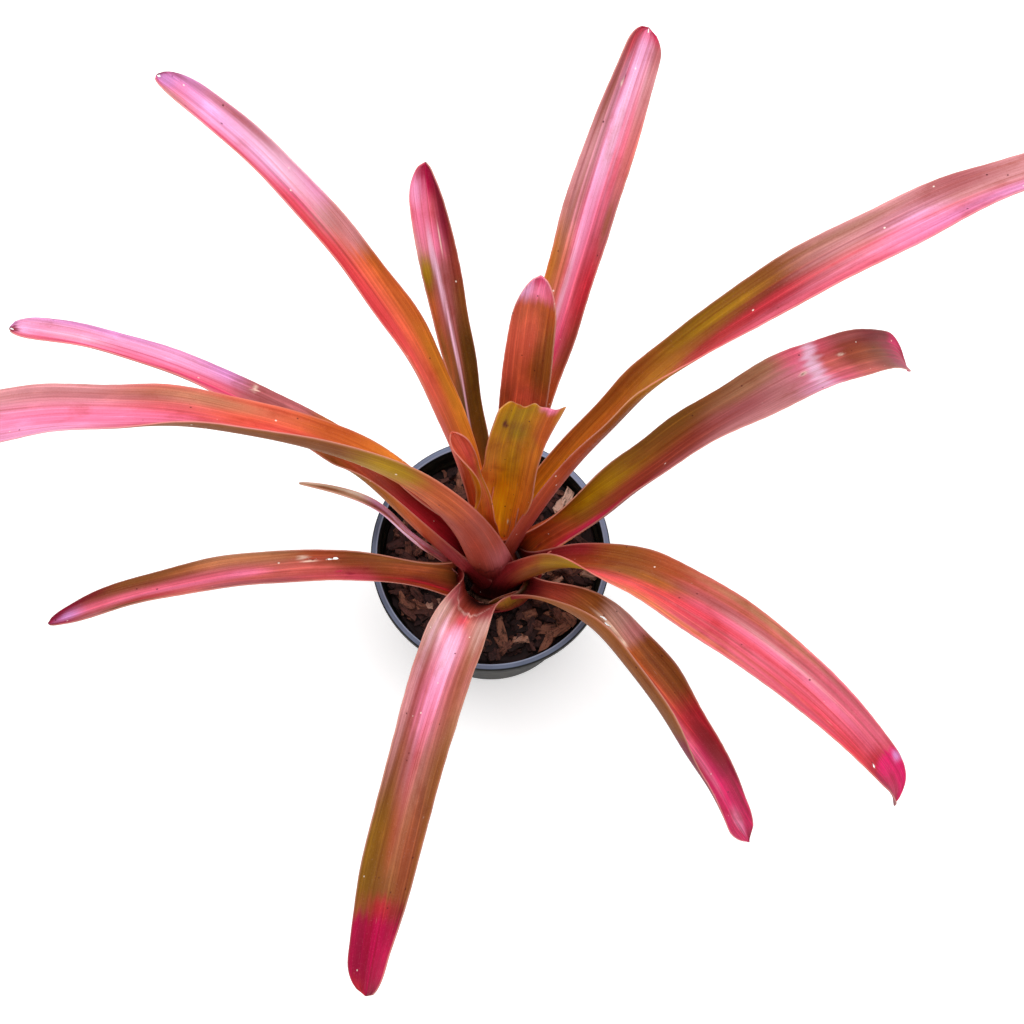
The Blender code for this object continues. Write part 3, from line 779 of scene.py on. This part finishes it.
# ---- Tall back leaf
# A broad upright blade with a pale lilac middle, darker sides and a notched tip.
grow_leaf("leaf_back_tall", 5, dict(
    azimuth=71, length=385, sheath=65, wrap=120, rise=(70, 51, 40, 8), turn=(0, -3, 0, 0),
    half_width=(15.5, 14.5, 16.5, 11.5), curl=(95, 40, 35, 30), roll=(0, -15, -15, 40), tip=15),
    bands=[(0, brick), (20, tan, honey, bronze), (30, gold, honey, rust), (42, rust),
        (52, sand, rose, brick), (62, apricot, rose, red), (72, blush, pink, mauve),
        (82, blush, lilac, salmon), (92, mauve, lilac, blush), (97, mauve, lilac, mauve),
        (100, ruby, pink, ruby)],
    strokes=[(60, 10, 90, 14, tan, 80), (66, 8, 75, 15, olive, 50), (48, 8, -15, 18, magenta, 60),
        (56, 16, 0, 14, pink, 70), (60, 9, 18, 10, mist, 60), (78, 16, 10, 20, lilac, 60),
        (86, 10, 0, 16, mist, 50), (74, 20, 45, 5, umber, 60), (70, 16, 62, 5, umber, 60),
        (76, 16, 30, 4, red, 50), (80, 14, -22, 5, crimson, 50), (66, 14, -30, 5, garnet, 50),
        (82, 12, 80, 5, garnet, 50), (62, 10, -50, 25, red, 60), (80, 12, -45, 13, rose, 80),
        (84, 12, -80, 16, mauve, 70), (72, 3, -75, 15, umber, 60), (88, 5, 75, 14, umber, 45),
        (97, 3.0, 65, 30, red, 70), (94, 6, 30, 8, red, 50), (91, 0.5, 40, 5, cream, 90),
        (91.6, 0.4, 36, 4, black, 80)],
    notches=[(3, -5, 16)],
    glow=0.38)

# ---- Long left leaf
# The longest leaf of all folds over near the crown, so that its olive back shows, and runs
# out flat to the left in pink.
grow_leaf("leaf_left_long", 6, dict(
    azimuth=231, length=637, sheath=94, wrap=120, rise=(82, 23, -18, -13), turn=(-64, -61, -50, -59),
    half_width=(24, 21.5, 17.5, 15), curl=(85, 70, 35, 30), roll=(73, 52, 5, -16), tip=50),
    bands=[(0, garnet, brick), (10, brick), (20, rust), (30, rust, rust, tan), (38, russet, russet, rust),
        (45, cerise, coral), (52, cerise, cerise, salmon), (60, lilac, pink, blush),
        (80, pink, lilac, blush), (100, magenta, rose, magenta)],
    strokes=[(42, 5, -20, 30, crimson, 50), (50, 7, -75, 20, sand, 80), (58, 7, -65, 16, mauve, 60),
        (57, 8, 10, 30, pink, 80), (55, 5, 75, 20, rose, 80), (47, 4, 50, 25, crimson, 40)],
    under=[(0, garnet, maroon), (5, garnet), (10, mauve, brick, garnet), (17, brick), (23, brick),
        (28, russet, rust, russet), (33, olive, rust, bronze), (38, umber), (46, umber), (60, sand, mauve),
        (100, magenta, mauve, plum)],
    under_strokes=[(33.5, 3.4, 55, 45, moss, 90), (35, 3, 0, 40, moss, 50), (12, 9, 10, 40, brick, 60),
        # The garnet and black strokes at its foot are painted shade in the hollow of the crown.
        (27, 4, 50, 40, rust, 50), (4, 5, 70, 40, garnet, 70), (1.5, 2.5, 25, 35, black, 90),
        (7.5, 0.35, 20, 70, maroon, 70, 1)])

# ---- Narrow back leaf
# A short upright blade with a whitish rib, dark olive on its right and magenta at its tip.
grow_leaf("leaf_back_narrow", 7, dict(
    azimuth=103, length=290, sheath=50, wrap=120, rise=(65, 50, 49, 38), turn=(3, 0, 0, -7),
    half_width=(14.5, 12.5, 13, 11.5), curl=(95, 60, 40, 50), roll=(-5, 30, 20, -40), tip=22),
    bands=[(0, brick, brick, garnet), (20, garnet, tan), (35, umber, umber, dark_olive),
        (45, bronze, dark_olive), (58, rust, umber, dark_olive), (70, rust, mauve, umber),
        (78, olive, mauve, brick), (84, blush, pink, brick), (91, rose, rose, garnet),
        (96, pink, ruby, plum), (100, rose, ruby, plum)],
    strokes=[(60, 7, 70, 25, olive, 70), (79, 3.5, 65, 30, moss, 90), (88, 6, 55, 35, pink, 80),
        (52, 14, -12, 5.5, mist, 90), (64, 10, -2, 7, mist, 95), (75, 7, 12, 10, mist, 95),
        (82, 5, 25, 12, mist, 70), (66, 16, -24, 12, mauve, 60), (92, 7, 15, 12, pink, 70),
        (88, 6, -60, 30, plum, 80), (94.5, 3.5, 65, 30, lilac, 60), (50, 16, -55, 30, dark_olive, 70),
        (85, 3.0, -25, 2, cream, 80), (98.5, 2, 10, 80, wine, 80)])

# ---- Upper left leaf
# It leaves the crown behind the long left leaf, brown at first and then lilac pink, with a
# small dried split in its tip.
grow_leaf("leaf_left_upper", 8, dict(
    azimuth=170, length=375, sheath=135, wrap=120, rise=(34, 53, 10, 0), turn=(-18, -6, -10, 3),
    half_width=(15.5, 14, 12.5, 9), curl=(90, 45, 55, 45), roll=(0, 0, 30, 20), tip=16),
    bands=[(0, maroon, garnet), (10, brick, red), (20, red, red, brick), (30, russet, brick, rust),
        (40, umber, russet, tan), (50, rust, brick, mauve), (60, salmon, mauve), (66, rose, rose, violet),
        (75, rose, pink, lilac), (85, rose, pink, lilac), (95, rose, pink, lilac), (98.5, rose, lilac),
        (100, plum, mauve, violet)],
    strokes=[(70, 14, 50, 35, rose, 80), (68, 10, 25, 10, magenta, 60), (84, 9, 55, 10, magenta, 60),
        (76, 12, -50, 40, lilac, 60), (80, 14, 10, 5, rose, 60), (74, 12, -20, 5, magenta, 40),
        (56, 6, -60, 40, mauve, 70), (14, 8, 30, 40, red, 60), (90, 6, -10, 30, mist, 60),
        (60, 0.4, -70, 20, cream, 80), (86, 12, -95, 20, violet, 80), (99.8, 0.8, 0, 90, plum, 90)],
    under=[(0, maroon, garnet), (8, garnet), (14, garnet, brick), (20, russet, russet, brick),
        (27, bronze, bronze, brick), (36, olive, honey, brick), (50, umber, umber, mauve), (70, mauve),
        (100, plum, mauve, plum)],
    under_strokes=[(6, 5, 60, 40, garnet, 80), (11, 4, 85, 12, garnet, 60), (10, 1.6, 30, 30, mauve, 80)],
    notches=[(3, 20, 30)])

# ---- Bent right leaf
# It arches to the right and its end has been bent down, with a painted highlight as a pale
# band across the bend, and a crimson tip.
grow_leaf("leaf_right_bent", 9, dict(
    azimuth=14, length=395, sheath=70, wrap=120, rise=(57, 48, -13, -64), turn=(-3, 10, 15, 9),
    half_width=(19.5, 19, 19, 13), curl=(115, 60, 35, 20), roll=(30, -25, -15, 5), tip=26, apex=-0.7),
    bands=[(0, brick), (10, rust, rust, russet), (18, russet, russet, red), (26, olive, olive, garnet),
        (38, olive, brick, garnet), (48, olive, brick, mauve), (56, umber, mauve, blush),
        (64, sand, mauve, blush), (70, rose, pink, lilac), (75, cerise, salmon, rose),
        (80, brick, brick, salmon), (87, garnet, brick), (92, garnet, wine), (95, ruby), (100, ruby)],
    strokes=[(30, 12, 45, 35, moss, 80), (44, 8, 55, 35, umber, 60), (28, 10, -55, 22, magenta, 55),
        (36, 10, -10, 30, brick, 70), (50, 7, -10, 35, brick, 50), (60, 6, 60, 30, sand, 70),
        # The wide mist stroke at 71.6 percent is a painted highlight across the bend.
        (66, 4.5, -10, 60, blush, 60), (71.6, 1.5, 20, 120, mist, 95, 1.6), (86, 6, 0, 40, umber, 40),
        (80, 5, 80, 20, mauve, 50), (82, 3, 0, 50, russet, 50), (78, 0.6, 22, 5, cream, 70),
        (86.5, 0.5, 20, 4, dark_olive, 70), (96, 2, 60, 40, hot_magenta, 60), (9, 1.2, -30, 5, garnet, 90),
        (11, 1.2, -10, 4, garnet, 80), (69.5, 0.7, 5, 7, cream, 90), (69.5, 0.35, 5, 3.5, dark_olive, 90)],
    under=[(0, brick), (8, rust), (16, russet, rust, tan), (30, olive, russet, garnet), (60, mauve),
        (100, magenta, plum, magenta)],
    notches=[(3, 30, 40)])

# ---- Low right leaf
# A broad coral blade with greyish stripes that droops to a hooked magenta tip. Its near side
# folds over at the crown and shows its olive back.
grow_leaf("leaf_right_low", 10, dict(
    azimuth=-47, length=388, sheath=55, wrap=90, rise=(69, 30, 8, -80), turn=(38, 16, 3, 9),
    half_width=(20.5, 23.5, 16.5, 10.5), curl=(115, 30, 40, 55), roll=(-55, -35, 0, -30), tip=42, point=0.6,
    hook=(-28, -16, 34)),
    bands=[(0, brick, brick, garnet), (15, garnet, brick), (26, garnet, russet, brick),
        (34, umber, russet, crimson), (44, russet, russet, coral), (52, salmon, cerise), (62, salmon, rose),
        (74, rose, rose, cerise), (84, rose, rose, crimson), (87.0, cerise, red),
        (88.5, hot_magenta, hot_magenta, ruby), (100, hot_magenta, ruby, wine)],
    strokes=[(36, 7, 50, 30, umber, 70), (38, 8, 10, 20, olive, 60), (44, 8, 30, 12, olive, 50),
        (46, 12, -35, 25, crimson, 70), (60, 18, -10, 10, crimson, 60), (64, 18, -55, 8, salmon, 60),
        (58, 14, 62, 7, umber, 50), (72, 14, 50, 6, mauve, 70), (64, 20, 30, 9, mauve, 50),
        (60, 20, -30, 5, mauve, 50), (62, 20, -75, 5, mauve, 50), (74, 12, 80, 12, mauve, 60),
        (56, 10, 42, 12, mauve, 80), (66, 10, 30, 10, blush, 80), (70, 14, 15, 12, pink, 60),
        (60, 14, 85, 12, sand, 80), (50, 14, -85, 12, apricot, 70), (76, 10, -40, 20, crimson, 50),
        # The violet stroke near the tip is a painted highlight.
        (84, 4, -20, 50, red, 40), (89.8, 1.3, 85, 20, violet, 90), (93, 5, -75, 30, plum, 40)],
    under=[(0, maroon, garnet), (8, garnet), (14, brick, brick, garnet), (20, umber, umber, brick),
        (25, umber, olive, umber), (32, olive, olive, moss), (40, umber, umber, apricot), (60, mauve),
        (88, plum), (100, magenta, hot_magenta, plum)],
    under_strokes=[(20, 8, -30, 40, olive, 60), (28, 7, -60, 30, moss, 60), (8, 5, -80, 30, garnet, 50),
        # The black stroke at its foot is painted shade in the hollow of the crown.
        (12, 3, 70, 30, mauve, 60), (3, 4, -70, 35, black, 90)],
    holes=[(87.2, -5.2, 2.4, 1.6)])

# ---- Dry-tipped leaf
# A small old leaf folded lengthways, pink outside, whose thin tip has dried to straw.
grow_leaf("leaf_dry_tip", 11, dict(
    azimuth=189, length=225, sheath=25, wrap=25, rise=(67, 77, 73, 20), turn=(-16, 1, -11, -12),
    half_width=(5, 5, 4, 3), curl=(60, 65, 75, 60), roll=(5, 15, 10, 5), tip=60),
    bands=[(0, maroon, maroon, brick), (20, mauve, blush), (40, mauve, mauve, lilac),
        (60, red, mauve, blush), (74, garnet, mauve, lilac), (84, dry, dry, cream), (92, dry, sand, dry),
        (100, dry, dry, cream)],
    strokes=[(45, 25, -60, 30, mist, 80), (50, 22, 30, 12, garnet, 60), (30, 10, -10, 30, pink, 60)],
    under=[(0, maroon, maroon, brick), (20, blush, blush, rose), (60, mist, lilac, rose),
        (82, lilac, rose, mauve), (90, dry, dry, sand), (100, dry)],
    waves=0.0003)

# ---- Low left leaf
# A narrow leaf with a dark foot, split and nibbled along its back edge, magenta at the tip.
grow_leaf("leaf_left_low", 12, dict(
    azimuth=201, length=310, sheath=55, wrap=55, rise=(47, 28, 1, -23), turn=(-14, -11, -9, -6),
    half_width=(13, 11.5, 13.5, 8.5), curl=(70, 65, 35, 35), roll=(-50, -15, 30, 25), tip=40),
    bands=[(0, maroon, bark_brown), (10, garnet, umber, brick), (18, garnet, umber), (28, brick, umber),
        (36, cerise, brick, umber), (44, salmon, salmon, russet), (52, mauve, salmon, sand),
        (62, mauve, rose, sand), (72, salmon, rose, umber), (82, umber, rose, umber),
        (90, mauve, rose, garnet), (96, wine, violet, plum), (100, plum, wine, plum)],
    strokes=[(16, 13, 70, 5, red, 80), (12, 10, 90, 12, rust, 70), (37, 0.9, 50, 8, plum, 95),
        (39.6, 0.7, 34, 6, magenta, 90), (33, 0.6, 20, 5, garnet, 80), (44, 8, 60, 30, cerise, 50),
        (22, 8, 0, 35, russet, 70), (38, 7, -20, 25, umber, 60), (55, 12, 25, 25, salmon, 70),
        (72, 14, 15, 14, pink, 60), (64, 14, -25, 6, garnet, 40), (80, 12, -55, 25, umber, 60),
        (60, 14, -70, 20, apricot, 50), (45.5, 1.6, -32, 5, cream, 90), (47, 1.0, -55, 12, cream, 70),
        (84, 1.0, 90, 10, black, 60), (77, 6, 50, 22, red, 60), (59, 5, 0, 20, pink, 70),
        (80, 5, 92, 8, bark_brown, 90), (98, 2, -50, 50, plum, 90)],
    holes=[(40.6, -4.4, 4.6, 1.5), (45.0, -5.0, 2.6, 1.4)])

# ---- Front right leaf
# An old leaf that bends down over the rim, folded along its middle, torn near the bend.
grow_leaf("leaf_front_right", 13, dict(
    azimuth=-49, length=350, sheath=75, wrap=50, rise=(53, 3, -52, -55), turn=(12, -3, 6, -7),
    half_width=(12, 24, 17.5, 10), curl=(110, 95, 80, 45), roll=(5, -45, -15, -10), tip=40, point=0.95,
    apex=0.3),
    bands=[(0, brick, bark_brown, garnet), (14, garnet, maroon, brick), (24, brick, brick, umber),
        (32, umber), (36, grey_pink, sand), (40, blush, sand), (43, umber, rust, sand),
        (52, umber, coral, sand), (60, red, crimson, olive), (68, red, magenta), (76, wine, hot_magenta),
        (86, magenta, hot_magenta), (93, magenta), (100, plum, magenta)],
    strokes=[(48, 7, 60, 30, umber, 70), (56, 12, 12, 12, rose, 80), (60, 12, -30, 20, olive, 50),
        (70, 12, -5, 14, pink, 60), (66, 10, 60, 30, garnet, 70), (84, 8, 70, 30, wine, 60),
        (36, 3.5, 33, 3.5, cream, 95), (40.2, 0.8, 30, 6, cream, 95), (38.5, 1.6, 25, 3, garnet, 80),
        (42.5, 1.4, 22, 3, plum, 80), (92, 5, 10, 30, lilac, 50), (95, 2.5, 5, 5, plum, 50)],
    under=[(0, brick, moss, garnet), (12, umber, moss, garnet), (24, umber, olive, umber),
        (36, sand, sand, umber), (48, umber), (56, umber), (60, plum), (80, plum), (100, plum)],
    holes=[(35.2, 7.0, 5.0, 1.9), (39.6, 6.4, 2.6, 1.9)])

# ---- Old sheath
# The stub of a leaf that was cut away long ago, dull yellow green, at the front of the crown.
grow_leaf("old_sheath", 14, dict(
    azimuth=-54, length=36, sheath=14, wrap=55, rise=(86, 92, 96, 100), turn=(0, 0, 0, 0),
    half_width=(25, 24, 22, 18), curl=(52, 52, 52, 50), roll=(0, 0, 0, 0), tip=12),
    bands=[(0, black), (50, bark_brown, bark_brown, umber), (80, garnet, garnet, umber), (100, brick)],
    under=[(0, garnet, maroon, garnet), (35, garnet), (60, umber, umber, olive), (85, moss, umber),
        (100, brick, dry, brick)],
    nibbles=0.03)

# ---- Front leaf
# The lowest leaf comes straight to the front from an open cup, with a painted lilac sheen
# along its middle, brown sides and a blunt magenta tip. Shade inside the cup and a highlight along its fold
# are painted as well.
grow_leaf("leaf_front", 15, dict(
    azimuth=-107, length=345, sheath=50, wrap=90, rise=(77, 32, -4, -9), turn=(-5, 0, 4, 9),
    half_width=(22, 19.5, 17, 14.5), curl=(75, 40, 35, 20), roll=(-5, -10, -15, 50), tip=16),
    bands=[(0, maroon, maroon, garnet), (18, brick, brick, garnet), (27, mauve, brick, mauve),
        (32, grey_pink, salmon, grey_pink), (38, sand, pink, grey_pink), (50, sand, pink, mauve),
        (62, umber, mauve, umber), (74, umber, russet, olive), (83, umber, umber, olive),
        (86, garnet, red, umber), (89, wine, ruby, wine), (96, ruby, wine), (100, plum, wine, red)],
    # The lilac and mist strokes along the middle are painted sheen.
    strokes=[(45, 13, 0, 22, lilac, 90), (40, 6, 2, 30, mist, 60), (60, 12, 5, 14, rose, 70),
        (31.5, 2.0, 0, 18, crimson, 70), (37, 5, -45, 12, mist, 60), (48, 14, 28, 5, mauve, 60),
        (52, 16, -26, 5, brick, 60), (42, 8, -75, 8, mist, 40), (36, 4, 75, 20, grey_pink, 80),
        (49, 10, 60, 30, brick, 65), (50, 12, -50, 12, brick, 50), (54, 12, -85, 20, blush, 80),
        (44, 8, 90, 15, mauve, 60), (70, 12, 15, 25, sand, 40), (76, 9, -50, 30, olive, 60),
        (78, 10, 60, 30, brick, 50), (94, 4, 30, 40, ruby, 70), (93, 5, -70, 25, plum, 50),
        # The bowed brick band and the black at the cup's foot are painted shade inside the cup, and the thin
        # bowed grey-pink line is a painted highlight along its fold.
        (20, 8.5, 10, 140, brick, 85, 0, -9), (16.5, 8.5, 10, 60, black, 97),
        (28.4, 0.45, 10, 100, grey_pink, 90, 0, -9)],
    under=[(0, maroon, garnet), (3, garnet), (6, olive, garnet), (12, olive, brick, garnet), (20, brick),
        (40, mauve), (86, umber), (92, plum), (100, plum)])


# ---- Studio
# A pale floor under soft light from above, and a camera above the plant that looks down at
# it, a little from the front.
bm = bmesh.new()
bmesh.ops.create_circle(bm, cap_ends=True, segments=64, radius=4.0)
floor_mesh = bpy.data.meshes.new("floor")
bm.to_mesh(floor_mesh)
bm.free()
floor = placed("floor", floor_mesh)
floor_finish, shader, place = new_finish("floor", Roughness=0.9, Base_Color=(0.93, 0.93, 0.93, 1),
                                         Emission_Color=(1, 1, 1, 1), Emission_Strength=0.42)
floor_mesh.materials.append(floor_finish)

key = bpy.data.lights.new("key", "AREA")
key.shape = "DISK"
key.size = 1.6
key.energy = 34
lamp = placed("key", key)
lamp.location = (0.05, 0.32, 2.3)
towards_plant = Vector((0, 0, 0.2)) - lamp.location
lamp.rotation_euler = towards_plant.to_track_quat("-Z", "Y").to_euler()
world = bpy.data.worlds.new("studio")
world.use_nodes = True
sky = world.node_tree.nodes["Background"].inputs
sky["Color"].default_value = (1, 1, 1, 1)
sky["Strength"].default_value = 0.58
bpy.context.scene.world = world
bpy.context.scene.view_settings.view_transform = "Standard"

lens = bpy.data.cameras.new("camera")
lens.sensor_width = 36
lens.lens = 51.1
camera = placed("camera", lens)
camera.location = (0, -0.2588, 1.1059)
camera.rotation_euler = (math.radians(16.56), math.radians(-0.80), math.radians(-0.23))
bpy.context.scene.camera = camera
